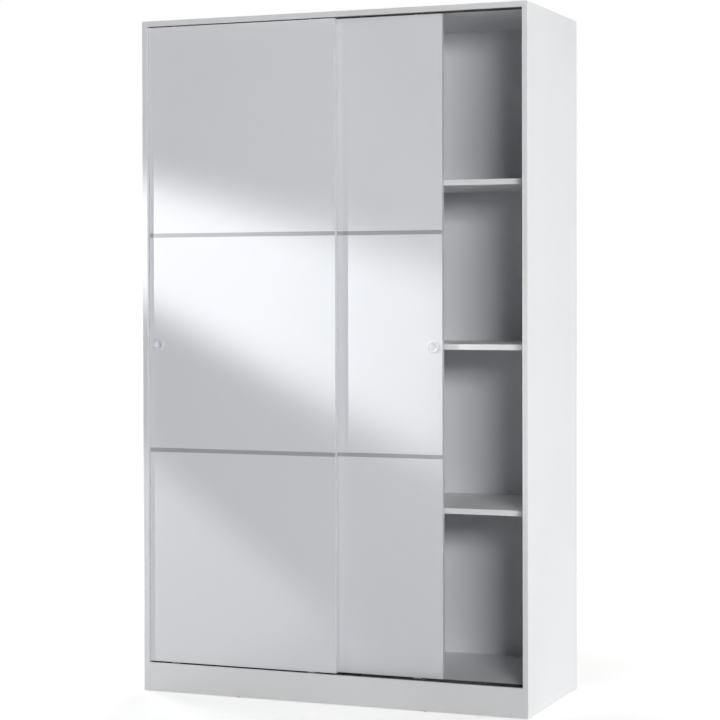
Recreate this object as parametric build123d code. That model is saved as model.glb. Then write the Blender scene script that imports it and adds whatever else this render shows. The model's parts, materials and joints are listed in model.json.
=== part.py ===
"""White two-door sliding wardrobe, in millimetres.

The origin is the centre of the footprint at floor level.  +X is to the right as one
faces the doors, +Y runs to the back, +Z is up, so the doors are at the -Y side.
The left door runs in the front groove of the tracks and stands closed.  The right
door runs in the rear groove and stands part of the way open.
"""
from build123d import *
import math
import os

# ---------------------------------------------------------------- carcass sizes
width = 1200
height = 2000
depth = 500
board = 16
back_thickness = 3
back_inset = 1
back_middle_gap = 1
plinth_height = 70
plinth_setback = 0.8
rear_plinth_inset = 30
glide_height = 2
edge_radius = 0.6
seam = 0.1

# ---------------------------------------------------------------- inside sizes
shelf_pitch = 468
shelf_end_gap = 0.5
shelf_back_gap = 2
interior_setback = 11
hat_space = 324
rail_drop = 45
rail_height = 30
rail_thickness = 15
rail_wall = 1.2
rail_end_gap = 3
rail_fit_gap = 0.3
rail_cup_wall = 2.5
rail_cup_reach = 16
rail_plate_margin = 14
rail_screw_margin = 9

# ---------------------------------------------------------------- doors
front_recess = 12
door_gap = 7
door_overlap = 32
door_end_gap = 1
door_bottom_gap = 3
door_top_gap = 2
right_door_opening = 247
lower_field = 627
middle_field = 628
trim_height = 12
trim_proud = 0.6
trim_seat = 1
trim_tongue_height = 2
trim_tongue_depth = 5
pull_inset = 28
pull_radius = 17.5
dish_radius = 11.5
dish_taper = 4
cup_proud = 5
cup_wall = 2.5
cup_depth = 9
cup_floor = 3
cup_fit_gap = 0.1

# ---------------------------------------------------------------- tracks and rollers
track_margin = 4.5
track_height = 8
groove_width = 7
groove_depth = 6
groove_lip = 0.6
wheel_radius = 14
wheel_groove_gap = 1
wheel_lift = 0.3
wheel_side_gap = 0.7
wheel_rim_gap = 1.5
axle_radius = 2
running_gap = 0.08
roller_inset = 80
roller_front_wall = 3
roller_end_wall = 6.5
roller_roof = 6.2
roller_plate_ear = 18
roller_plate_rim = 5
roller_plate_thickness = 2
roller_fit_gap = 0.15

# ---------------------------------------------------------------- spring guides in the doors' top edge
guide_inset = 80
sleeve_radius = 5.5
sleeve_length = 32
sleeve_floor = 2
sleeve_lip = 2
sleeve_bore = 3.6
sleeve_mouth = 2.6
plunger_shoulder_length = 10
plunger_travel = 8
plunger_rest_gap = 0.2
plunger_tip_gap = 1
spring_wire = 0.8
spring_turns = 6
spring_side_gap = 0.4

# ---------------------------------------------------------------- fittings
fit_gap = 0.05
cam_radius = 7.5
cam_past_middle = 4
cam_sunk = 0.3
cam_distance = 24
cam_bolt_radius = 3
cam_bolt_thread = 2.5
cam_bolt_grip = 11
dowel_radius = 4
dowel_length = 30
dowel_seat = 10
hole_spare_depth = 0.5
pin_radius = 2.5
pin_seat = 10
pin_reach = 8
pin_collar_step = 1.5
pin_hole_pitch = 32
spare_holes = 2
screw_head = 3.4
screw_shank = 1.6
screw_skin = 2
pull_screw_head = 3.6
pull_screw_shank = 1.9
pull_screw_bite = 2
roller_screw_length = 10
long_screw_head = 5
long_screw_shank = 3.4
long_screw_length = 48
front_row = 38
cam_rear_row = 97
pin_rear_row = 57
screw_rear_row = 47
dowel_front_row = 128
dowel_rear_row = 127
bracket_leg = 28
bracket_width = 24
bracket_thickness = 2
bracket_inset = 84
wall_hole_radius = 2.75
block_size = 22
block_wall = 3
block_inset = 264
glide_radius = 7
glide_pin = 1.2
glide_pin_length = 12
glide_inset = 25
buffer_radius = 4
buffer_proud = 0.7
buffer_seat = 5
buffer_end = 120
nail_pitch = 150
nail_head = 2.2
nail_head_height = 0.5
nail_shank = 0.7
nail_length = 20

# ---------------------------------------------------------------- places worked out from the sizes
front = -depth / 2
rear = depth / 2
body_rear = rear - back_thickness
inner = width / 2 - board
floor_top = plinth_height + board
ceiling = height - board
floor_middle = floor_top - board / 2
ceiling_middle = ceiling + board / 2

door_width = inner - door_end_gap + door_overlap / 2
door_bottom = floor_top + door_bottom_gap
door_top = ceiling - door_top_gap
front_door_face = front + front_recess
rear_door_face = front_door_face + board + door_gap
door_edges = {
    "left_door": -inner + door_end_gap,
    "right_door": inner - door_end_gap - door_width - right_door_opening,
}
door_faces = {"left_door": front_door_face, "right_door": rear_door_face}
pull_height = (door_bottom + door_top) / 2

track_front = front_door_face - track_margin
track_rear = rear_door_face + board + track_margin
groove_lines = (front_door_face + board / 2, rear_door_face + board / 2)
track_middle = (track_front + track_rear) / 2
axle_height = floor_top - groove_depth + wheel_lift + wheel_radius

interior_front = rear_door_face + board + interior_setback
shelf_rear = body_rear - shelf_back_gap
middle_shelf_top = (floor_top + ceiling + board) / 2
hat_shelf_top = ceiling - hat_space
rail_level = hat_shelf_top - board - rail_drop
rail_depth = (interior_front + body_rear) / 2
rear_plinth_face = body_rear - rear_plinth_inset - board
plinth_face = front + plinth_setback
plinth_middle = (plinth_height + glide_height) / 2

cup_radius = dish_radius + cup_wall
pull_rim_round = min((pull_radius - dish_radius) / 2, cup_proud) - 0.2

wheel_width = groove_width - 2 * wheel_groove_gap
slot_half = wheel_radius + wheel_rim_gap
roller_block_half = slot_half + roller_end_wall
roller_block_top = axle_height + slot_half + roller_roof
roller_plate_half = roller_block_half + roller_plate_ear
roller_plate_top = roller_block_top + roller_plate_rim
roller_screw_spread = (roller_block_half + roller_plate_half) / 2
roller_screw_level = (door_bottom + roller_plate_top) / 2

screw_length = board - screw_skin
cam_height = board / 2 + cam_past_middle
first_row = interior_front + front_row
cam_rows = (first_row, body_rear - cam_rear_row)
pin_rows = (first_row, body_rear - pin_rear_row)
partition_screw_rows = (first_row, body_rear - screw_rear_row)
partition_dowel_rows = (interior_front + dowel_front_row, body_rear - dowel_rear_row)
bracket_places = (bracket_inset - inner, inner - bracket_inset)
block_columns = (block_inset - inner, inner - block_inset)

FACING = {
    "+x": Rot(0, 90, 0),
    "-x": Rot(0, -90, 0),
    "+y": Rot(-90, 0, 0),
    "-y": Rot(90, 0, 0),
    "+z": Rot(0, 0, 0),
    "-z": Rot(180, 0, 0),
}
TOP = (Align.CENTER, Align.CENTER, Align.MAX)


# ---------------------------------------------------------------- plain shapes
def box(x0, x1, y0, y1, z0, z1):
    """A box between two corners."""
    centre = Pos((x0 + x1) / 2, (y0 + y1) / 2, (z0 + z1) / 2)
    return centre * Box(x1 - x0, y1 - y0, z1 - z0)


def eased_board(x0, x1, y0, y1, z0, z1):
    """A board with all its edges slightly rounded."""
    plain = box(x0, x1, y0, y1, z0, z1)
    return fillet(plain.edges(), edge_radius)


def rod_x(x0, x1, y, z, radius):
    """A round bar along X."""
    return Pos((x0 + x1) / 2, y, z) * Rot(0, 90, 0) * Cylinder(radius, abs(x1 - x0))


def rod_y(x, y0, y1, z, radius):
    """A round bar along Y."""
    return Pos(x, (y0 + y1) / 2, z) * Rot(90, 0, 0) * Cylinder(radius, abs(y1 - y0))


def rod_z(x, y, z0, z1, radius):
    """A round bar along Z."""
    return Pos(x, y, (z0 + z1) / 2) * Cylinder(radius, abs(z1 - z0))


def turned(outline, rounded, radius):
    """A solid turned from (radius, height) points, with the named corners rounded."""
    flat = make_face(Polyline(*outline, close=True))
    for corner in rounded:
        near = flat.vertices().sort_by_distance((*corner, 0))[0]
        flat = fillet(near, radius)
    return revolve(flat, Axis.Y)


# ---------------------------------------------------------------- screws
def cone_screw(head, shank, length, gap=0):
    """A countersunk screw pointing down from its head's face, or the hole for one."""
    taper = head - shank
    cone = Cone(shank + gap, head + gap, taper, align=TOP)
    return cone + Cylinder(shank + gap, length + gap, align=TOP)


def cross_recess(head):
    """The driver's cross in a screw head."""
    arm = Box(head * 1.1, head * 0.22, head * 0.35, align=TOP)
    return arm + Rot(0, 0, 90) * arm


def driven(shape, place, facing):
    """Put a screw, or its hole, with its head's face at a place and looking one way."""
    return Pos(*place) * FACING[facing] * shape


def small_screw():
    return cone_screw(screw_head, screw_shank, screw_length) - cross_recess(screw_head)


def small_screw_hole():
    return cone_screw(screw_head, screw_shank, screw_length, fit_gap)


def long_screw():
    recess = cross_recess(long_screw_head)
    return cone_screw(long_screw_head, long_screw_shank, long_screw_length) - recess


def long_screw_hole():
    return cone_screw(long_screw_head, long_screw_shank, long_screw_length, fit_gap)


# ---------------------------------------------------------------- places of the fittings
def cam_places():
    """Each cam joint: panel end x, way into the panel, y, mid height, face drilled from."""
    runs = (
        (-inner, inner, ceiling_middle, 1),
        (-inner, inner, floor_middle, -1),
        (board / 2, inner, middle_shelf_top - board / 2, -1),
        (-inner, -board / 2, hat_shelf_top - board / 2, 1),
    )
    places = []
    for left, right, middle, face in runs:
        for end, inward in ((left, 1), (right, -1)):
            for row in cam_rows:
                places.append((end, inward, row, middle, face))
    return places


def lying_dowel_places():
    """Each dowel along X: the joint's face, way into the panel, y and z."""
    rows = (
        (-inner, inner, 0, ceiling_middle),
        (-inner, inner, 0, floor_middle),
        (-inner, inner, plinth_face + board / 2, plinth_middle),
        (-inner, inner, rear_plinth_face + board / 2, plinth_middle),
        (board / 2, inner, 0, middle_shelf_top - board / 2),
        (-inner, -board / 2, 0, hat_shelf_top - board / 2),
    )
    places = []
    for left, right, y, z in rows:
        places.append((left, 1, y, z))
        places.append((right, -1, y, z))
    return places


def pin_levels():
    """Centre height of the pins under each loose shelf."""
    tops = (middle_shelf_top - shelf_pitch, middle_shelf_top + shelf_pitch)
    return [top - board - pin_radius for top in tops]


def pin_walls():
    """The two walls that carry loose shelves: face x and the way into the space."""
    return ((board / 2, 1), (inner, -1))


def long_screw_places():
    """Screws through the top and the bottom panel into the partition's ends."""
    places = []
    for row in partition_screw_rows:
        places.append(((0, row, height), "+z"))
        places.append(((0, row, plinth_height), "-z"))
    return places


def track_screw_columns():
    """X of the screws along a track."""
    span = 2 * inner - 2 * buffer_end
    return [-span / 2 + span * step / 5 for step in range(6)]


def rail_screw_levels():
    reach = rail_height / 2 + rail_screw_margin
    return (rail_level - reach, rail_level + reach)


def small_screw_places():
    """Every small screw that goes into the carcass: head place and facing."""
    places = []
    for x in track_screw_columns():
        places.append(((x, track_middle, floor_top), "+z"))
        places.append(((x, track_middle, ceiling), "-z"))
    for z in rail_screw_levels():
        places.append(((-inner + rail_end_gap, rail_depth, z), "+x"))
        places.append(((-board / 2 - rail_end_gap, rail_depth, z), "-x"))
    for x in bracket_places:
        y = body_rear - bracket_leg * 0.6
        places.append(((x, y, ceiling - bracket_thickness), "-z"))
    for x, wall, way in block_places():
        inside = "+y" if way > 0 else "-y"
        places.append(((x, wall + way * block_size / 2, plinth_height - block_size / 3), "-z"))
        places.append(((x, wall + way * block_size / 3, plinth_height - block_size / 2), inside))
    return places


def block_places():
    """Corner blocks between a plinth and the bottom panel: x, plinth face y, way from it."""
    places = []
    for x in block_columns:
        places.append((x, plinth_face + board, 1))
        places.append((x, rear_plinth_face, -1))
    return places


def glide_places():
    """Glides under the side panels, the plinths and the brace."""
    side = width / 2 - board / 2
    ends = (front + glide_inset, body_rear - glide_inset)
    places = [(x, y) for x in (-side, side) for y in ends]
    for x in (-inner / 2, inner / 2):
        places.append((x, plinth_face + board / 2))
        places.append((x, rear_plinth_face + board / 2))
    places.append((0, 0))
    return places


def buffer_places():
    """Door buffers on the side panels: face x, way into the space, y and z."""
    places = []
    for face, inward in ((-inner, 1), (inner, -1)):
        for y in groove_lines:
            for z in (door_bottom + buffer_end, door_top - buffer_end):
                places.append((face, inward, y, z))
    return places


# ---------------------------------------------------------------- holes cut for the fittings
def touching(shape, region):
    """The holes of a list that reach into a region."""
    x0, x1, y0, y1, z0, z1 = region
    kept = []
    for hole in shape:
        low = hole.bounding_box().min
        high = hole.bounding_box().max
        apart = (
            high.X <= x0 or low.X >= x1 or high.Y <= y0
            or low.Y >= y1 or high.Z <= z0 or low.Z >= z1
        )
        if not apart:
            kept.append(hole)
    return kept


def fitting_holes():
    """Every hole that the carcass boards have, built from the fittings' own places."""
    holes = []
    for end, inward, y, middle, face in cam_places():
        x = end + inward * cam_distance
        outer = middle + face * board / 2
        deep = outer - face * (cam_height + hole_spare_depth)
        holes.append(rod_z(x, y, deep, outer + face, cam_radius + fit_gap))
        holes.append(rod_x(end - inward * seam, x, y, middle, cam_bolt_radius + 0.5))
        grip = end - inward * (cam_bolt_grip + hole_spare_depth)
        holes.append(rod_x(grip, end, y, middle, cam_bolt_thread))
    for face, inward, y, z in lying_dowel_places():
        deep = face - inward * (dowel_seat + hole_spare_depth)
        far = face + inward * (dowel_length - dowel_seat + hole_spare_depth)
        holes.append(rod_x(deep, far, y, z, dowel_radius))
    for y in partition_dowel_rows:
        for level, way in ((floor_top, 1), (ceiling, -1)):
            low = level - way * (dowel_seat + hole_spare_depth)
            high = level + way * (dowel_length - dowel_seat + hole_spare_depth)
            holes.append(rod_z(0, y, low, high, dowel_radius))
    for y, way in ((plinth_face + board, 1), (rear_plinth_face, -1)):
        deep = y - way * (dowel_seat + hole_spare_depth)
        far = y + way * (dowel_length - dowel_seat + hole_spare_depth)
        holes.append(rod_y(0, deep, far, plinth_middle, dowel_radius))
    for level in pin_levels():
        for step in range(-spare_holes, spare_holes + 1):
            for face, inward in pin_walls():
                for y in pin_rows:
                    z = level + step * pin_hole_pitch
                    deep = face - inward * (pin_seat + hole_spare_depth)
                    holes.append(rod_x(deep, face, y, z, pin_radius))
    for place, facing in small_screw_places():
        holes.append(driven(small_screw_hole(), place, facing))
    for place, facing in long_screw_places():
        holes.append(driven(long_screw_hole(), place, facing))
    for x, y in glide_places():
        top = glide_height + glide_pin_length + hole_spare_depth
        holes.append(rod_z(x, y, glide_height, top, glide_pin))
    for face, inward, y, z in buffer_places():
        holes.append(rod_x(face - inward * buffer_seat, face, y, z, buffer_radius))
    for x in bracket_places:
        z = ceiling - bracket_leg * 0.6
        holes.append(rod_y(x, body_rear - bracket_leg, rear, z, wall_hole_radius))
    return holes


HOLES = fitting_holes()


def drilled(shape, *region):
    """A board with the holes that reach into it."""
    found = touching(HOLES, region)
    return shape - found if found else shape


def fitted_board(x0, x1, y0, y1, z0, z1):
    """An eased board between two corners, drilled for its fittings."""
    return drilled(eased_board(x0, x1, y0, y1, z0, z1), x0, x1, y0, y1, z0, z1)


# ---------------------------------------------------------------- carcass
def side_panel(side):
    outer = side * width / 2
    face = side * inner
    return fitted_board(min(outer, face), max(outer, face), front, body_rear, glide_height, height)


def track_pocket(level, way):
    """The long recess for a track, with way pointing out of the board."""
    deep = level - way * (track_height + seam)
    low, high = sorted((deep, level + way))
    return box(-inner - 1, inner + 1, track_front - seam, track_rear + seam, low, high)


def top_panel():
    plain = eased_board(-inner, inner, front, body_rear, ceiling, height)
    plain -= track_pocket(ceiling, -1)
    return drilled(plain, -inner, inner, front, body_rear, ceiling, height)


def bottom_panel():
    plain = eased_board(-inner, inner, front, body_rear, plinth_height, floor_top)
    plain -= track_pocket(floor_top, 1)
    return drilled(plain, -inner, inner, front, body_rear, plinth_height, floor_top)


def partition():
    return fitted_board(-board / 2, board / 2, interior_front, body_rear, floor_top, ceiling)


def plinth(face):
    return fitted_board(-inner, inner, face, face + board, glide_height, plinth_height)


def plinth_brace():
    y0 = plinth_face + board
    return fitted_board(-board / 2, board / 2, y0, rear_plinth_face, glide_height, plinth_height)


def shelf(left, right, top, end_gap):
    x0 = left + end_gap
    x1 = right - end_gap
    return fitted_board(x0, x1, interior_front, shelf_rear, top - board, top)


def back_panel(side):
    """One hardboard sheet, from the middle of the partition to the outside."""
    x0, x1 = sorted((side * back_middle_gap / 2, side * (width / 2 - back_inset)))
    sheet = box(x0, x1, body_rear, rear, plinth_height + back_inset, height - back_inset)
    return drilled(sheet, x0, x1, body_rear, rear, plinth_height, height)


# ---------------------------------------------------------------- tracks
def track(level, way):
    """A double-groove track whose open face is at a level, with way pointing out of it."""
    outline = [(track_front, level - way * track_height), (track_front, level)]
    for line in groove_lines:
        left = line - groove_width / 2
        right = line + groove_width / 2
        outline += [
            (left - groove_lip, level),
            (left, level - way * groove_lip),
            (left, level - way * groove_depth),
            (right, level - way * groove_depth),
            (right, level - way * groove_lip),
            (right + groove_lip, level),
        ]
    outline += [(track_rear, level), (track_rear, level - way * track_height)]
    start = -inner + seam
    points = [(start, y, z) for y, z in outline]
    section = make_face(Polyline(*points, close=True))
    profile = extrude(section, amount=2 * (inner - seam), dir=(1, 0, 0))
    low, high = sorted((level, level - way * track_height))
    return drilled(profile, -inner, inner, track_front, track_rear, low, high)


# ---------------------------------------------------------------- inside fittings
def oval_bar(x0, x1, grow):
    """A flat-oval bar along X at the rail's place, larger all round by grow."""
    tall = rail_height + 2 * grow
    thick = rail_thickness + 2 * grow
    section = Plane.YZ * SlotOverall(tall, thick, rotation=90)
    bar = extrude(section, amount=x1 - x0)
    return Pos(x0, rail_depth, rail_level) * bar


def hanging_rail():
    x0 = -inner + rail_end_gap
    x1 = -board / 2 - rail_end_gap
    return oval_bar(x0, x1, 0) - oval_bar(x0 - 1, x1 + 1, -rail_wall)


def rail_support(face, inward):
    """A screwed plate with an open-topped cup that holds the rail's end."""
    tall = rail_height / 2 + rail_plate_margin
    half = rail_thickness / 2 + rail_fit_gap + rail_cup_wall + 3.7
    x0, x1 = sorted((face, face + inward * rail_end_gap))
    region = (x0, x1, rail_depth - half, rail_depth + half, rail_level - tall, rail_level + tall)
    plate = rod_x(x0, x1, rail_depth, rail_level, tall) & box(*region)
    plate = drilled(plate, *region)
    x0, x1 = sorted((face + inward * rail_end_gap, face + inward * rail_cup_reach))
    cup = oval_bar(x0, x1, rail_fit_gap + rail_cup_wall) - oval_bar(x0 - 1, x1 + 1, rail_fit_gap)
    slot = rail_thickness / 2 + rail_fit_gap
    mouth = box(x0 - 1, x1 + 1, rail_depth - slot, rail_depth + slot, rail_level, rail_level + tall)
    return plate + (cup - mouth)


def rail_supports():
    return [rail_support(-inner, 1), rail_support(-board / 2, -1)]


def shelf_pins():
    pins = []
    for level in pin_levels():
        for face, inward in pin_walls():
            for y in pin_rows:
                shank = rod_x(face - inward * pin_seat, face + inward * pin_reach, y, level, pin_radius)
                rim = pin_radius + pin_collar_step
                collar = rod_x(face, face + inward * 1.2, y, level, rim)
                above = box(face - 2, face + 2, y - rim, y + rim, level + pin_radius, level + 2 * rim)
                pins.append(shank + (collar - above))
    return pins


def cam_lock(end, inward, y, middle, face):
    """A cam barrel with a driver slot, hollowed for its bolt's head."""
    x = end + inward * cam_distance
    outer = middle + face * (board / 2 - cam_sunk)
    barrel = rod_z(x, y, outer - face * cam_height, outer, cam_radius)
    channel = rod_x(x - inward * (cam_radius + 1), x + inward * 4.5, y, middle, cam_bolt_radius + 0.9)
    slot_low, slot_high = sorted((outer - face * 1.6, outer + face))
    slot = box(x - 5, x + 5, y - 0.7, y + 0.7, slot_low, slot_high)
    cross = box(x - 0.7, x + 0.7, y - 5, y + 5, slot_low, slot_high)
    return barrel - [channel, slot, cross]


def cam_bolt(end, inward, y, middle):
    """A bolt screwed into the neighbouring board, with a necked head inside the cam."""
    grip = end - inward * cam_bolt_grip
    shaft_end = end + inward * (cam_distance - 5)
    neck_end = end + inward * cam_distance
    head_end = end + inward * (cam_distance + 3)
    thread = rod_x(grip, end, y, middle, cam_bolt_thread - fit_gap)
    shaft = rod_x(end, shaft_end, y, middle, cam_bolt_radius)
    neck = rod_x(shaft_end, neck_end, y, middle, cam_bolt_radius - 1)
    head = rod_x(neck_end, head_end, y, middle, cam_bolt_radius)
    return thread + shaft + neck + head


def wooden_dowels():
    thin = dowel_radius - fit_gap
    dowels = []
    for face, inward, y, z in lying_dowel_places():
        far = face + inward * (dowel_length - dowel_seat)
        dowels.append(rod_x(face - inward * dowel_seat, far, y, z, thin))
    for y in partition_dowel_rows:
        for level, way in ((floor_top, 1), (ceiling, -1)):
            low = level - way * dowel_seat
            dowels.append(rod_z(0, y, low, level + way * (dowel_length - dowel_seat), thin))
    for y, way in ((plinth_face + board, 1), (rear_plinth_face, -1)):
        far = y + way * (dowel_length - dowel_seat)
        dowels.append(rod_y(0, y - way * dowel_seat, far, plinth_middle, thin))
    return dowels


def corner_blocks():
    blocks = []
    for x, wall, way in block_places():
        half = block_size / 2
        low = plinth_height - block_size
        y0, y1 = sorted((wall, wall + way * block_size))
        block = box(x - half, x + half, y0, y1, low, plinth_height)
        open0, open1 = sorted((wall + way * block_size / 3, wall + way * (block_size + 1)))
        side = half - block_wall
        hollow = box(x - side, x + side, open0, open1, low - 1, plinth_height - block_size / 3)
        blocks.append(drilled(block - hollow, x - half, x + half, y0, y1, low, plinth_height))
    return blocks


def wall_brackets():
    """Angle brackets under the top panel that hold the wardrobe to the wall."""
    brackets = []
    for x in bracket_places:
        x0 = x - bracket_width / 2
        x1 = x + bracket_width / 2
        flat = box(x0, x1, body_rear - bracket_leg, body_rear, ceiling - bracket_thickness, ceiling)
        upright = box(x0, x1, body_rear - bracket_thickness, body_rear, ceiling - bracket_leg, ceiling)
        region = (x0, x1, body_rear - bracket_leg, body_rear, ceiling - bracket_leg, ceiling)
        brackets.append(drilled(flat + upright, *region))
    return brackets


def foot_glides():
    glides = []
    for x, y in glide_places():
        foot = Pos(x, y, glide_height / 2) * Cone(glide_radius - 1, glide_radius, glide_height)
        pin = rod_z(x, y, glide_height, glide_height + glide_pin_length, glide_pin - fit_gap)
        glides.append(foot + pin)
    return glides


def door_buffers():
    buffers = []
    for face, inward, y, z in buffer_places():
        x1 = face + inward * buffer_proud
        buffers.append(rod_x(face - inward * buffer_seat, x1, y, z, buffer_radius - fit_gap))
    return buffers


def nail_places():
    """Nails round both back sheets, where a board stands behind the sheet."""
    side = width / 2 - board / 2
    bottom = floor_middle
    top = ceiling_middle
    rows = int((top - bottom) // nail_pitch)
    step = (top - bottom) / rows
    places = []
    for row in range(1, rows):
        z = bottom + row * step
        places += [(-side, z), (-board / 4, z), (board / 4, z), (side, z)]
    columns = int(inner // nail_pitch)
    for column in range(columns + 1):
        x = board + column * (side - board) / columns
        for z in (bottom, top):
            places += [(-x, z), (x, z)]
    return places


def back_nails():
    nails = []
    for x, z in nail_places():
        shank = rod_y(x, rear - nail_length, rear, z, nail_shank)
        head = rod_y(x, rear, rear + nail_head_height, z, nail_head)
        nails.append(Pos(0, -nail_head_height, 0) * (shank + head))
    return nails


# ---------------------------------------------------------------- doors
def trim_levels():
    lower = door_bottom + lower_field + trim_height / 2
    upper = lower + trim_height + middle_field
    return {"lower": lower, "upper": upper}


def roller_places(door):
    left = door_edges[door]
    return (left + roller_inset, left + door_width - roller_inset)


def guide_places(door):
    left = door_edges[door]
    return (left + guide_inset, left + door_width - guide_inset)


def pull_place(door):
    """X of a door's pull, near the edge that leads when it opens."""
    left = door_edges[door]
    return left + pull_inset if door == "left_door" else left + door_width - pull_inset


def roller_screw_places(door):
    back = door_faces[door] + board
    places = []
    for x in roller_places(door):
        for side in (-1, 1):
            places.append((x + side * roller_screw_spread, back, roller_screw_level))
    return places


def roller_seat(x, face, grow):
    """The shape of a roller housing, or the pocket for one, in a door's bottom edge."""
    back = face + board
    low = door_bottom - grow
    half = roller_block_half + grow
    top = roller_block_top + grow
    block = box(x - half, x + half, face + roller_front_wall - grow, back, low, top)
    half = roller_plate_half + grow
    top = roller_plate_top + grow
    plate = box(x - half, x + half, back - roller_plate_thickness - grow, back, low, top)
    return block + plate


def pull_screw_shape(gap=0):
    """A pull's screw, which reaches from the back of the door into the cup's floor."""
    return cone_screw(pull_screw_head, pull_screw_shank, board - cup_depth + pull_screw_bite, gap)


def pull_screw_place(door):
    return (pull_place(door), door_faces[door] + board, pull_height)


def pull_screw_hole(door):
    return driven(pull_screw_shape(fit_gap), pull_screw_place(door), "+y")


def door_panel(door):
    left = door_edges[door]
    face = door_faces[door]
    back = face + board
    right = left + door_width
    panel = eased_board(left, right, face, back, door_bottom, door_top)
    cuts = [roller_seat(x, face, roller_fit_gap) for x in roller_places(door)]
    for x in guide_places(door):
        low = door_top - sleeve_length - 0.5
        cuts.append(rod_z(x, face + board / 2, low, door_top + 1, sleeve_radius + fit_gap))
    for level in trim_levels().values():
        half = trim_height / 2 + fit_gap
        cuts.append(box(left - 1, right + 1, face - 1, face + trim_seat, level - half, level + half))
        half = trim_tongue_height / 2 + fit_gap
        deep = face + trim_seat + trim_tongue_depth + 0.3
        cuts.append(box(left - 1, right + 1, face, deep, level - half, level + half))
    deep = face + cup_depth + 0.3
    cuts.append(rod_y(pull_place(door), face - 1, deep, pull_height, cup_radius + cup_fit_gap))
    cuts.append(pull_screw_hole(door))
    for place in roller_screw_places(door):
        cuts.append(driven(roller_screw(fit_gap), place, "+y"))
    return panel - cuts


def door_trim(door, level):
    """An aluminium strip with rounded front edges and a tongue in the door's kerf."""
    left = door_edges[door] + edge_radius
    right = left + door_width - 2 * edge_radius
    face = door_faces[door]
    half = trim_height / 2
    cap = box(left, right, face - trim_proud, face + trim_seat, level - half, level + half)
    front_edges = cap.edges().filter_by(Axis.X).sort_by(Axis.Y)[:2]
    cap = fillet(front_edges, trim_proud * 0.9)
    half = trim_tongue_height / 2
    deep = face + trim_seat + trim_tongue_depth
    tongue = box(left, right, face + trim_seat, deep, level - half, level + half)
    return cap + tongue


def cup_pull(door):
    """A sunk cup with a round rim, low enough for the rear door's pull to pass the front door."""
    floor = cup_floor - cup_depth
    outline = [
        (0, -cup_depth), (cup_radius, -cup_depth), (cup_radius, 0), (pull_radius, 0),
        (pull_radius, cup_proud), (dish_radius, cup_proud), (dish_radius - dish_taper, floor), (0, floor),
    ]
    rim = [(pull_radius, cup_proud), (dish_radius, cup_proud)]
    place = Pos(pull_place(door), door_faces[door], pull_height) * Rot(0, 0, 180)
    return place * turned(outline, rim, pull_rim_round) - pull_screw_hole(door)


def pull_screw(door):
    shape = pull_screw_shape() - cross_recess(pull_screw_head)
    return driven(shape, pull_screw_place(door), "+y")


# ---------------------------------------------------------------- rollers
def roller_screw(gap=0):
    return cone_screw(screw_head, screw_shank, roller_screw_length, gap)


def roller_housings(door):
    face = door_faces[door]
    line = face + board / 2
    housings = []
    for x in roller_places(door):
        body = roller_seat(x, face, 0)
        side = wheel_width / 2 + wheel_side_gap
        top = axle_height + slot_half
        slot = box(x - slot_half, x + slot_half, line - side, line + side, door_bottom - 1, top)
        bore = rod_y(x, face, face + board + 1, axle_height, axle_radius + fit_gap)
        cuts = [slot, bore]
        for place in roller_screw_places(door):
            if abs(place[0] - x) < roller_plate_half:
                cuts.append(driven(roller_screw(fit_gap), place, "+y"))
        housings.append(body - cuts)
    return housings


def roller_axles(door):
    face = door_faces[door]
    start = face + roller_front_wall + 0.3
    return [rod_y(x, start, face + board - 0.3, axle_height, axle_radius) for x in roller_places(door)]


def roller_screws(door):
    shape = roller_screw() - cross_recess(screw_head)
    return [driven(shape, place, "+y") for place in roller_screw_places(door)]


def wheel(x, face):
    """A nylon wheel with a rounded tread, dished sides and five round holes."""
    line = face + board / 2
    tyre = Cylinder(wheel_radius, wheel_width)
    tyre = fillet(tyre.edges(), 0.8)
    cuts = [Cylinder(axle_radius + running_gap, wheel_width + 1)]
    for side in (-1, 1):
        ring = Cylinder(wheel_radius - 3, 0.8) - Cylinder(axle_radius + 2.5, 0.8)
        cuts.append(Pos(0, 0, side * (wheel_width / 2 - 0.4)) * ring)
    for turn in range(5):
        cuts.append(Rot(0, 0, 72 * turn) * Pos(wheel_radius * 0.55, 0, 0) * Cylinder(1.4, wheel_width + 1))
    return Pos(x, line, axle_height) * Rot(90, 0, 0) * (tyre - cuts)


# ---------------------------------------------------------------- spring guides
sleeve_bottom = door_top - sleeve_length
bore_bottom = sleeve_bottom + sleeve_floor
shoulder_top = door_top - sleeve_lip - plunger_rest_gap
shoulder_bottom = shoulder_top - plunger_shoulder_length
plunger_top = ceiling + groove_depth - plunger_tip_gap


def guide_sleeves(door):
    line = door_faces[door] + board / 2
    sleeves = []
    for x in guide_places(door):
        tube = rod_z(x, line, sleeve_bottom, door_top, sleeve_radius)
        bore = rod_z(x, line, bore_bottom, door_top - sleeve_lip, sleeve_bore)
        mouth = rod_z(x, line, door_top - sleeve_lip - 1, door_top + 1, sleeve_mouth)
        sleeves.append(tube - [bore, mouth])
    return sleeves


def plunger(x, door):
    line = door_faces[door] + board / 2
    shoulder = rod_z(x, line, shoulder_bottom, shoulder_top, sleeve_bore - running_gap)
    tip = rod_z(x, line, shoulder_top, plunger_top, sleeve_mouth - running_gap)
    tip = fillet(tip.edges().sort_by(Axis.Z)[-1], 1.2)
    return shoulder + tip


def guide_spring(x, door):
    """A round-wire coil spring between the sleeve's floor and the plunger."""
    line = door_faces[door] + board / 2
    wire = spring_wire / 2
    coil_radius = sleeve_bore - spring_side_gap - wire
    tall = shoulder_bottom - bore_bottom - 2 * wire - 0.2
    path = Helix(pitch=tall / spring_turns, height=tall, radius=coil_radius)
    start = Plane(origin=path @ 0, z_dir=path % 0)
    coil = sweep(start * Circle(wire), path=path, is_frenet=True)
    return Pos(x, line, bore_bottom + wire + 0.1) * coil


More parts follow.
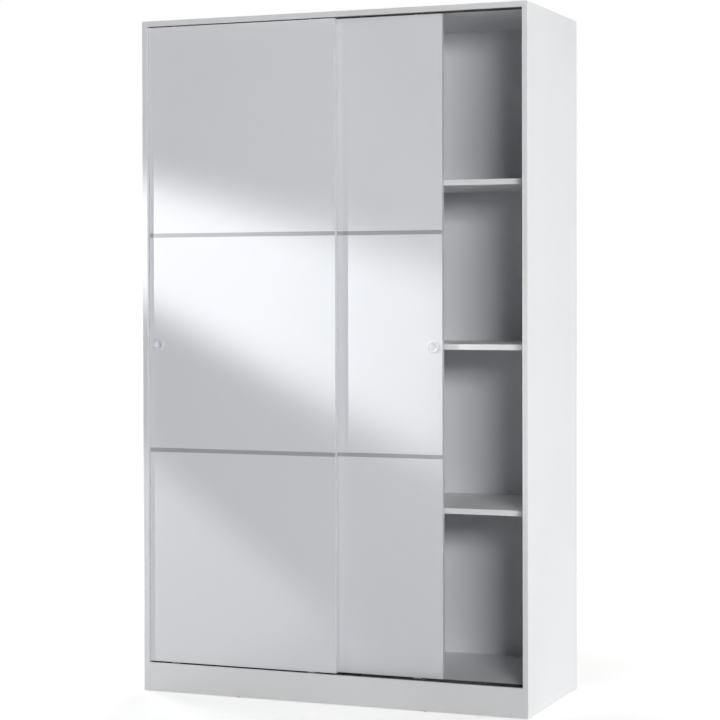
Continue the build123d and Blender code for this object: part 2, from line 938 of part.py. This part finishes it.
# ---------------------------------------------------------------- all nodes
def carcass_nodes():
    lower = middle_shelf_top - shelf_pitch
    upper = middle_shelf_top + shelf_pitch
    wall = board / 2
    return {
        "side_panel_left": side_panel(-1),
        "side_panel_right": side_panel(1),
        "top_panel": top_panel(),
        "bottom_panel": bottom_panel(),
        "partition": partition(),
        "plinth_front": plinth(plinth_face),
        "plinth_rear": plinth(rear_plinth_face),
        "plinth_brace": plinth_brace(),
        "shelf_right_lower": shelf(wall, inner, lower, shelf_end_gap),
        "shelf_right_middle": shelf(wall, inner, middle_shelf_top, 0),
        "shelf_right_upper": shelf(wall, inner, upper, shelf_end_gap),
        "hat_shelf": shelf(-inner, -wall, hat_shelf_top, 0),
        "back_panel_left": back_panel(-1),
        "back_panel_right": back_panel(1),
        "track_top": track(ceiling, -1),
        "track_bottom": track(floor_top, 1),
        "hanging_rail": hanging_rail(),
        "rail_supports": rail_supports(),
        "shelf_pins": shelf_pins(),
        "cam_locks": [cam_lock(*place) for place in cam_places()],
        "cam_bolts": [cam_bolt(*place[:4]) for place in cam_places()],
        "wooden_dowels": wooden_dowels(),
        "partition_screws": [driven(long_screw(), *place) for place in long_screw_places()],
        "small_screws": [driven(small_screw(), *place) for place in small_screw_places()],
        "corner_blocks": corner_blocks(),
        "wall_brackets": wall_brackets(),
        "foot_glides": foot_glides(),
        "door_buffers": door_buffers(),
        "back_nails": back_nails(),
    }


def door_nodes(door):
    levels = trim_levels()
    nodes = {
        door + "_panel": door_panel(door),
        door + "_trim_lower": door_trim(door, levels["lower"]),
        door + "_trim_upper": door_trim(door, levels["upper"]),
        door + "_pull": cup_pull(door),
        door + "_pull_screw": pull_screw(door),
        door + "_roller_housings": roller_housings(door),
        door + "_axles": roller_axles(door),
        door + "_roller_screws": roller_screws(door),
        door + "_guide_sleeves": guide_sleeves(door),
    }
    for end, x in zip(("left", "right"), roller_places(door)):
        nodes[f"{door}_wheel_{end}"] = wheel(x, door_faces[door])
    for end, x in zip(("left", "right"), guide_places(door)):
        nodes[f"{door}_plunger_{end}"] = plunger(x, door)
        nodes[f"{door}_spring_{end}"] = guide_spring(x, door)
    return nodes


def write(nodes):
    """Write each node to its own STEP file; a list becomes one group of solids."""
    os.makedirs("parts", exist_ok=True)
    for name, shape in nodes.items():
        if isinstance(shape, list):
            shape = Compound(label=name, children=shape)
        shape.label = name
        export_step(shape, f"parts/{name}.step")


everything = carcass_nodes()
for door_name in door_edges:
    everything.update(door_nodes(door_name))
write(everything)
print(len(everything), "nodes; wheel turns per metre", round(1000 / wheel_radius / math.tau, 3))
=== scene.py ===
"""The looks of a white wardrobe with two sliding doors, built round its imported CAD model.

Everything is in metres, in the model's own frame: +X is to the right as one faces the doors,
the doors are at the -Y side, and the floor is at z = 0.
"""
import bmesh
import bpy
import json
import math
from mathutils import Matrix, Vector


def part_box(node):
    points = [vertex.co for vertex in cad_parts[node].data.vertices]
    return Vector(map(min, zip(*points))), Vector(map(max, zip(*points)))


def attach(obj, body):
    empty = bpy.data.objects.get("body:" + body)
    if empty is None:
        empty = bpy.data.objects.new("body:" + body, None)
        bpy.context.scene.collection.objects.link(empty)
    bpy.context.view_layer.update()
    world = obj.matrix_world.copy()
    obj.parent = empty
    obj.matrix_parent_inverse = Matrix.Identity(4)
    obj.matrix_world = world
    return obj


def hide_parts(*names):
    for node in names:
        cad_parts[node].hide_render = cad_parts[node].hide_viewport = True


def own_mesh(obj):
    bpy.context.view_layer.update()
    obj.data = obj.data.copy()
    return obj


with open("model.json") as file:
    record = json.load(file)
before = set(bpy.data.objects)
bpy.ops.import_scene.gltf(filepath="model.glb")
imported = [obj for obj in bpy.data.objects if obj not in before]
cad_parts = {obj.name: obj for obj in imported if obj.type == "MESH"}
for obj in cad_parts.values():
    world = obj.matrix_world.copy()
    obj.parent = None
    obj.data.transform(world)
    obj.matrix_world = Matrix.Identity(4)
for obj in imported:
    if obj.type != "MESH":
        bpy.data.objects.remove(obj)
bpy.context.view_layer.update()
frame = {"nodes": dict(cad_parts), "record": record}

MM = 0.001

# Procedural noise lies mostly between these two values.
NOISE_LOW = 0.3
NOISE_HIGH = 0.7

# The spring under a guide plunger has round wire, a number of open turns, and a closed
# turn at each end, which rises a little more than the wire's thickness.
WIRE_RADIUS = 0.4 * MM
OPEN_TURNS = 6
CLOSED_TURN_RISE = 2.1 * WIRE_RADIUS


# ---------------------------------------------------------------- node graphs
class Graph:
    """A node tree, with short calls for its nodes and links."""

    def __init__(self, tree):
        self.tree = tree

    def node(self, kind, **settings):
        """A node of some kind, with its properties and inputs set by name."""
        made = self.tree.nodes.new(kind)
        for name, value in settings.items():
            if hasattr(made, name):
                setattr(made, name, value)
            else:
                made.inputs[name.replace("_", " ")].default_value = value
        return made

    def link(self, source, target):
        """Join an output to an input."""
        self.tree.links.new(source, target)

    def math(self, operation, first, second):
        """The result of a math node whose inputs are sockets or numbers."""
        made = self.node("ShaderNodeMath", operation=operation)
        for socket, value in zip(made.inputs, (first, second)):
            if isinstance(value, (int, float)):
                socket.default_value = value
            else:
                self.link(value, socket)
        return made.outputs[0]

    def range(self, value, low, high, to_low, to_high, kind="LINEAR"):
        """A value moved from one range to another."""
        made = self.node("ShaderNodeMapRange", interpolation_type=kind)
        made.inputs["From Min"].default_value = low
        made.inputs["From Max"].default_value = high
        made.inputs["To Min"].default_value = to_low
        made.inputs["To Max"].default_value = to_high
        self.link(value, made.inputs["Value"])
        return made.outputs["Result"]

    def split(self, vector):
        """The X, Y and Z outputs of a vector."""
        made = self.node("ShaderNodeSeparateXYZ")
        self.link(vector, made.inputs[0])
        return made.outputs


# ---------------------------------------------------------------- materials
class Look(Graph):
    """A material under construction."""

    def __init__(self, name, color, roughness, metallic=0.0, **sockets):
        self.material = bpy.data.materials.new(name)
        self.material.use_nodes = True
        super().__init__(self.material.node_tree)
        self.shader = self.tree.nodes["Principled BSDF"]
        self.shader.inputs["Base Color"].default_value = (*color, 1)
        self.shader.inputs["Roughness"].default_value = roughness
        self.shader.inputs["Metallic"].default_value = metallic
        for socket, value in sockets.items():
            self.shader.inputs[socket.replace("_", " ")].default_value = value
        self.place = self.node("ShaderNodeTexCoord").outputs["Object"]

    def noise(self, scale, detail=2.0, stretch=(1, 1, 1), roughness=0.5):
        """Noise over the object's own coordinates, which may be stretched along an axis."""
        mapping = self.node("ShaderNodeMapping", Scale=stretch)
        self.link(self.place, mapping.inputs["Vector"])
        made = self.node("ShaderNodeTexNoise", Scale=scale, Detail=detail, Roughness=roughness)
        self.link(mapping.outputs["Vector"], made.inputs["Vector"])
        return made.outputs["Fac"]

    def spread(self, noise, low, high):
        """Noise moved from its usual range to the one given."""
        return self.range(noise, NOISE_LOW, NOISE_HIGH, low, high)

    def mix(self, share, first, second):
        """A colour between two colours, each a tuple or a socket."""
        made = self.node("ShaderNodeMix", data_type="RGBA")
        self.link(share, made.inputs["Factor"])
        colors = [socket for socket in made.inputs if socket.type == "RGBA"]
        for socket, value in zip(colors, (first, second)):
            if isinstance(value, tuple):
                socket.default_value = (*value, 1)
            else:
                self.link(value, socket)
        return next(socket for socket in made.outputs if socket.type == "RGBA")

    def color(self, socket):
        """Take the base colour from a socket."""
        self.link(socket, self.shader.inputs["Base Color"])

    def roughness(self, socket):
        """Take the roughness from a socket."""
        self.link(socket, self.shader.inputs["Roughness"])

    def bump(self, height, strength, distance):
        """Raise and lower the surface by a height."""
        made = self.node("ShaderNodeBump", Strength=strength, Distance=distance)
        self.link(height, made.inputs["Height"])
        self.link(made.outputs["Normal"], self.shader.inputs["Normal"])

    def facing(self, axis):
        """How far the surface faces along one axis, from -1 to 1."""
        geometry = self.node("ShaderNodeNewGeometry")
        return self.split(geometry.outputs["True Normal"])[axis]

    def tint(self, color, change, scale):
        """A slow change of brightness over the surface, round its base colour."""
        dark = tuple(part * (1 - change) for part in color)
        light = tuple(min(1.0, part * (1 + change)) for part in color)
        self.color(self.mix(self.spread(self.noise(scale, detail=3.0), 0, 1), dark, light))


def melamine():
    """White melamine board with a fine pearl emboss."""
    color = (0.875, 0.882, 0.895)
    look = Look("white_melamine", color, 0.42, Specular_IOR_Level=0.45)
    look.tint(color, change=0.012, scale=3.0)
    look.roughness(look.spread(look.noise(60.0, detail=4.0), 0.38, 0.48))
    pearl = look.noise(900.0, roughness=0.6)
    look.bump(pearl, strength=0.12, distance=0.05 * MM)
    return look.material


def lacquer():
    """Satin white door board with a slight orange peel under a clear coat."""
    color = (0.845, 0.862, 0.895)
    look = Look("satin_white_door", color, 0.38, Coat_Weight=0.12, Coat_Roughness=0.22)
    look.tint(color, change=0.008, scale=2.0)
    look.roughness(look.spread(look.noise(40.0, detail=4.0), 0.34, 0.43))
    peel = look.noise(420.0, detail=1.5)
    look.bump(peel, strength=0.10, distance=0.06 * MM)
    return look.material


def hardboard():
    """A thin back sheet, lacquered pale in front and bare brown fibre behind."""
    look = Look("lacquered_hardboard", (0.8, 0.812, 0.84), 0.55)
    fibre = look.noise(260.0, detail=6.0, roughness=0.7)
    flecks = look.range(look.noise(1400.0), 0.62, 0.75, 0, 0.6)
    brown = look.mix(look.spread(fibre, 0, 1), (0.17, 0.10, 0.055), (0.33, 0.21, 0.125))
    brown = look.mix(flecks, brown, (0.42, 0.30, 0.19))
    cloud = look.spread(look.noise(4.0, detail=3.0), 0, 1)
    pale = look.mix(cloud, (0.775, 0.79, 0.82), (0.80, 0.812, 0.84))
    behind = look.range(look.facing("Y"), 0.4, 0.6, 0, 1)
    look.color(look.mix(behind, pale, brown))
    look.roughness(look.range(behind, 0, 1, 0.5, 0.85))
    look.bump(fibre, strength=0.15, distance=0.1 * MM)
    return look.material


def black_track():
    """Extruded satin black profile with fine lines along its length and a little dust."""
    color = (0.022, 0.023, 0.026)
    look = Look("black_track", color, 0.42, Specular_IOR_Level=0.5)
    lines = look.noise(1.0, detail=3.0, stretch=(2.0, 2600.0, 2600.0))
    dust = look.range(look.noise(160.0, detail=5.0, roughness=0.75), 0.6, 0.8, 0, 0.35)
    look.color(look.mix(dust, color, (0.10, 0.10, 0.105)))
    look.roughness(look.spread(lines, 0.36, 0.52))
    look.bump(lines, strength=0.2, distance=0.03 * MM)
    return look.material


def aluminium():
    """Satin anodised strip, brushed along its length."""
    look = Look("brushed_aluminium", (0.60, 0.61, 0.635), 0.40, 0.4)
    brushed = look.noise(1.0, detail=3.0, stretch=(6.0, 3500.0, 3500.0), roughness=0.6)
    look.color(look.mix(look.spread(brushed, 0, 1), (0.56, 0.57, 0.595), (0.64, 0.65, 0.675)))
    look.roughness(look.spread(brushed, 0.33, 0.45))
    look.bump(brushed, strength=0.15, distance=0.03 * MM)
    return look.material


def satin_pull():
    """Turned pulls in a pale silver lacquer under a clear coat."""
    color = (0.90, 0.92, 0.955)
    look = Look("satin_pull", color, 0.3, 0.08, Coat_Weight=0.4, Coat_Roughness=0.12)
    look.tint(color, change=0.02, scale=120.0)
    grain = look.noise(1800.0, detail=3.0)
    look.roughness(look.spread(grain, 0.25, 0.37))
    look.bump(grain, strength=0.05, distance=0.02 * MM)
    return look.material


def chrome():
    """Bright chrome tube with faint smears and draw lines along its length."""
    look = Look("bright_chrome", (0.76, 0.77, 0.79), 0.07, 1.0)
    look.roughness(look.range(look.noise(30.0, detail=4.0), 0.4, 0.75, 0.05, 0.16))
    lines = look.noise(1.0, stretch=(3.0, 900.0, 900.0))
    look.bump(lines, strength=0.03, distance=0.02 * MM)
    return look.material


def zinc():
    """Zinc plated steel with faint colour clouds."""
    look = Look("zinc_steel", (0.6, 0.6, 0.58), 0.34, 1.0)
    cloud = look.range(look.noise(220.0, detail=4.0), 0.35, 0.65, 0, 1)
    look.color(look.mix(cloud, (0.50, 0.51, 0.50), (0.68, 0.67, 0.63)))
    look.roughness(look.spread(look.noise(700.0, detail=3.0), 0.27, 0.45))
    look.bump(look.noise(1600.0), strength=0.08, distance=0.02 * MM)
    return look.material


def moulded(name, color, roughness, grain):
    """Moulded plastic with a fine spark-eroded grain."""
    look = Look(name, color, roughness)
    look.tint(color, change=0.03, scale=40.0)
    texture = look.noise(grain, detail=3.0, roughness=0.6)
    look.roughness(look.spread(texture, roughness - 0.05, roughness + 0.08))
    look.bump(texture, strength=0.2, distance=0.03 * MM)
    return look.material


def beech():
    """Unfinished beech with short dark flecks along the grain."""
    look = Look("beech", (0.62, 0.45, 0.28), 0.7)
    grain = look.noise(1.0, detail=5.0, stretch=(40.0, 700.0, 700.0), roughness=0.6)
    look.color(look.mix(look.spread(grain, 0, 1), (0.48, 0.32, 0.18), (0.70, 0.53, 0.35)))
    look.bump(grain, strength=0.3, distance=0.1 * MM)
    return look.material


def rubber():
    """Soft grey buffers that let a little light in."""
    color = (0.55, 0.55, 0.55)
    look = Look("soft_bumper", color, 0.5, Subsurface_Weight=0.2)
    look.tint(color, change=0.05, scale=300.0)
    look.bump(look.noise(2000.0), strength=0.1, distance=0.02 * MM)
    return look.material


LOOKS = {
    "white_board": melamine(),
    "gloss_white_board": lacquer(),
    "white_hardboard": hardboard(),
    "black_plastic": black_track(),
    "aluminium_trim": aluminium(),
    "satin_pull": satin_pull(),
    "chrome_tube": chrome(),
    "zinc_steel": zinc(),
    "white_plastic": moulded("white_moulding", (0.80, 0.80, 0.79), 0.45, grain=1500.0),
    "grey_plastic": moulded("grey_moulding", (0.26, 0.26, 0.27), 0.5, grain=1500.0),
    "white_nylon": moulded("white_nylon", (0.80, 0.79, 0.75), 0.35, grain=2200.0),
    "clear_rubber": rubber(),
    "beech": beech(),
}


def paint_cad_nodes():
    """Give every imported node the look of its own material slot."""
    slots = {part["node"]: part["material_slot"] for part in frame["record"]["subparts"]}
    for name, node in frame["nodes"].items():
        node.data.materials.clear()
        node.data.materials.append(LOOKS[slots[name]])


# ---------------------------------------------------------------- guide springs
def coil(low, high):
    """Points up the middle of the wire of a coil spring that fills a box."""
    centre = (low + high) / 2
    radius = (high.x - low.x) / 2 - WIRE_RADIUS
    rise = high.z - low.z - 2 * WIRE_RADIUS
    open_rise = rise - 2 * CLOSED_TURN_RISE
    steps_in_turn = 28
    points = []
    for step in range((OPEN_TURNS + 2) * steps_in_turn + 1):
        turn = step / steps_in_turn
        first_closed = min(turn, 1)
        opened = min(max((turn - 1) / OPEN_TURNS, 0), 1)
        last_closed = max(turn - OPEN_TURNS - 1, 0)
        z = low.z + WIRE_RADIUS + open_rise * opened
        z += CLOSED_TURN_RISE * (first_closed + last_closed)
        angle = 2 * math.pi * turn
        around = Vector((math.cos(angle), math.sin(angle), 0))
        points.append(Vector((centre.x, centre.y, z)) + radius * around)
    return points


def wire_mesh(name, points, axis):
    """A closed round wire along some points that wind about an upright axis."""
    sides = 10
    mesh = bmesh.new()
    rings = []
    for index, point in enumerate(points):
        before = points[max(index - 1, 0)]
        after = points[min(index + 1, len(points) - 1)]
        along = (after - before).normalized()
        outward = Vector((point.x - axis.x, point.y - axis.y, 0)).normalized()
        upward = along.cross(outward).normalized()
        ring = []
        for side in range(sides):
            turn = 2 * math.pi * side / sides
            reach = outward * math.cos(turn) + upward * math.sin(turn)
            ring.append(mesh.verts.new(point + WIRE_RADIUS * reach))
        rings.append(ring)
    for first, second in zip(rings, rings[1:]):
        for side in range(sides):
            corners = (first[side - 1], first[side], second[side], second[side - 1])
            mesh.faces.new(corners).smooth = True
    mesh.faces.new(reversed(rings[0]))
    mesh.faces.new(rings[-1])
    bmesh.ops.recalc_face_normals(mesh, faces=mesh.faces[:])
    data = bpy.data.meshes.new(name)
    mesh.to_mesh(data)
    mesh.free()
    return data


def guide_spring(door, end):
    """The wire spring under a guide plunger, built in place of the imported spring."""
    node = f"{door}_spring_{end}"
    low, high = (Vector(corner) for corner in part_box(node))
    centre = (low + high) / 2
    data = wire_mesh(f"{door}_{end}_guide_spring", coil(low, high), centre)
    data.materials.append(LOOKS["zinc_steel"])
    spring = bpy.data.objects.new(data.name, data)
    bpy.context.scene.collection.objects.link(spring)
    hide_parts(node)
    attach(spring, door)
    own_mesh(spring)


# ---------------------------------------------------------------- camera
def photo_camera():
    """A long lens at the right of the wardrobe, level with its middle, turned towards its left."""
    turn = math.radians(21.742)
    tilt = math.radians(-0.682)
    roll = math.radians(-0.139)
    ahead = Vector((
        -math.sin(turn) * math.cos(tilt), math.cos(turn) * math.cos(tilt), math.sin(tilt),
    ))
    level = Vector((math.cos(turn), math.sin(turn), 0))
    upward = level.cross(ahead)
    side = level * math.cos(roll) + upward * math.sin(roll)
    up = upward * math.cos(roll) - level * math.sin(roll)
    turned = Matrix((side, up, -ahead)).transposed().to_4x4()
    place = Vector((2.3374, -5.8645, 1.1960))
    data = bpy.data.cameras.new("photo_camera")
    data.lens = 105.435
    data.sensor_width = 36
    data.shift_y = -0.0614
    data.clip_end = 200
    camera = bpy.data.objects.new("photo_camera", data)
    camera.matrix_world = Matrix.Translation(place) @ turned
    bpy.context.scene.collection.objects.link(camera)
    bpy.context.scene.camera = camera


# ---------------------------------------------------------------- lights
def soft_box(name, place, target, size, power):
    """A rectangular lamp that points at a target."""
    data = bpy.data.lights.new(name, "AREA")
    data.shape = "RECTANGLE"
    data.size, data.size_y = size
    data.energy = power
    lamp = bpy.data.objects.new(name, data)
    aim = Vector(target) - Vector(place)
    lamp.rotation_mode = "QUATERNION"
    lamp.rotation_quaternion = aim.to_track_quat("-Z", "Y")
    lamp.location = place
    lamp.visible_camera = False
    bpy.context.scene.collection.objects.link(lamp)


def barred_key():
    """A key light from the upper left that shines past two wide bars.

    Seen on the doors, the bars' shadow edges all run from one point to the left of the
    wardrobe.  Each edge is given by its height where it meets the left side panel, how soft
    it is, and how bright the light is above it and below it.  Towards the right the light
    fades, between two places across the doors each time, to a level.
    """
    edges = (
        (1.518, 0.070, 0.10, 1.00),
        (1.150, 0.070, 1.00, 0.04),
        (0.696, 0.055, 0.04, 0.40),
    )
    fades = ((-0.30, 0.32, 0.78), (0.30, 0.44, 0.35))
    place = Vector((-6.85, -5.16, 4.72))
    left_door_face = -0.24
    right_door_face = -0.22
    middle_height = 1.0
    fade_height = 1.2
    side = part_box("side_panel_left")[1].x

    meeting = Vector((-2.20, left_door_face, 1.95))
    along = (meeting - place).normalized()
    centre = Vector((0, left_door_face, middle_height)) - place
    ahead = (centre - along * centre.dot(along)).normalized()
    across = (-ahead).cross(along)
    turned = Matrix((along, across, -ahead)).transposed().to_4x4()

    data = bpy.data.lights.new("barred_key", "POINT")
    data.energy = 3100
    data.shadow_soft_size = 0.06
    lamp = bpy.data.objects.new("barred_key", data)
    lamp.matrix_world = Matrix.Translation(place) @ turned
    bpy.context.scene.collection.objects.link(lamp)

    def angle(height):
        """The turn about the bars' direction at which a ray meets the side panel."""
        ray = Vector((side, left_door_face, height)) - place
        return math.atan2(ray.dot(across), ray.dot(ahead))

    def slant(x):
        """How nearly the ray to a place across the doors runs along the bars."""
        return (Vector((x, right_door_face, fade_height)) - place).normalized().dot(along)

    data.use_nodes = True
    light = Graph(data.node_tree)
    ray = light.split(light.node("ShaderNodeTexCoord").outputs["Normal"])
    turn = light.math("ARCTAN2", ray["Y"], light.math("MULTIPLY", ray["Z"], -1))
    brightness = None
    for height, soft, above, below in edges:
        low, high = angle(height - soft), angle(height + soft)
        step = light.range(turn, low, high, below, above, "SMOOTHSTEP")
        brightness = step if brightness is None else light.math("ADD", brightness, step)
    # The level between two edges is in both their steps, so it is taken away once.
    counted_twice = sum(above for height, soft, above, below in edges[1:])
    brightness = light.math("SUBTRACT", brightness, counted_twice)
    for near, far, level in fades:
        fade = light.range(ray["X"], slant(far), slant(near), level, 1, "SMOOTHSTEP")
        brightness = light.math("MULTIPLY", brightness, fade)
    light.link(brightness, light.tree.nodes["Emission"].inputs["Strength"])


def white_room():
    """A world that lights the wardrobe faintly, and that the camera sees as pure white."""
    world = bpy.data.worlds.new("white_room")
    bpy.context.scene.world = world
    world.use_nodes = True
    room = Graph(world.node_tree)
    lit = room.tree.nodes["Background"]
    lit.inputs["Color"].default_value = (0.95, 0.975, 1.0, 1)
    lit.inputs["Strength"].default_value = 0.03
    seen = room.node("ShaderNodeBackground", Color=(1, 1, 1, 1), Strength=1.0)
    choose = room.node("ShaderNodeMixShader")
    camera_ray = room.node("ShaderNodeLightPath").outputs["Is Camera Ray"]
    room.link(camera_ray, choose.inputs["Fac"])
    room.link(lit.outputs[0], choose.inputs[1])
    room.link(seen.outputs[0], choose.inputs[2])
    room.link(choose.outputs[0], room.tree.nodes["World Output"].inputs["Surface"])


def pale_floor():
    """A floor that takes the wardrobe's shadow and glows away to white round it."""
    half_width = 40
    sheet = bmesh.new()
    bmesh.ops.create_grid(sheet, x_segments=1, y_segments=1, size=half_width)
    mesh = bpy.data.meshes.new("studio_floor")
    sheet.to_mesh(mesh)
    sheet.free()
    floor = bpy.data.objects.new("studio_floor", mesh)
    bpy.context.scene.collection.objects.link(floor)
    look = Look("pale_floor", (0.9, 0.9, 0.9), 0.8, Emission_Color=(1, 1, 1, 1))
    distance = look.node("ShaderNodeVectorMath", operation="LENGTH")
    look.link(look.place, distance.inputs[0])
    fade = look.range(distance.outputs["Value"], 0.6, 2.4, 0.5, 1.0, "SMOOTHSTEP")
    camera_ray = look.node("ShaderNodeLightPath").outputs["Is Camera Ray"]
    look.link(look.math("MULTIPLY", camera_ray, fade), look.shader.inputs["Emission Strength"])
    look.bump(look.noise(8.0), strength=0.02, distance=0.2 * MM)
    floor.data.materials.append(look.material)


def studio():
    """A white room with a barred key at the left and soft boxes in front, beside and behind."""
    white_room()
    soft_box("front_box", (4.06, -6.23, 2.35), (0.46, -0.2, 1.0), size=(1.9, 1.1), power=264)
    soft_box("side_box", (5.2, 1.0, 0.8), (0.6, 0, 0.9), size=(2.0, 2.0), power=145)
    soft_box("rear_box", (-4.2, 2.2, 2.4), (-0.5, 0.1, 1.0), size=(1.6, 1.6), power=80)
    soft_box("top_box", (-0.6, 1.3, 3.6), (-0.1, 0.1, 2.0), size=(0.9, 0.9), power=24)
    barred_key()
    pale_floor()
    bpy.context.scene.view_settings.view_transform = "Standard"


paint_cad_nodes()
for door in ("left_door", "right_door"):
    for end in ("left", "right"):
        guide_spring(door, end)
photo_camera()
studio()
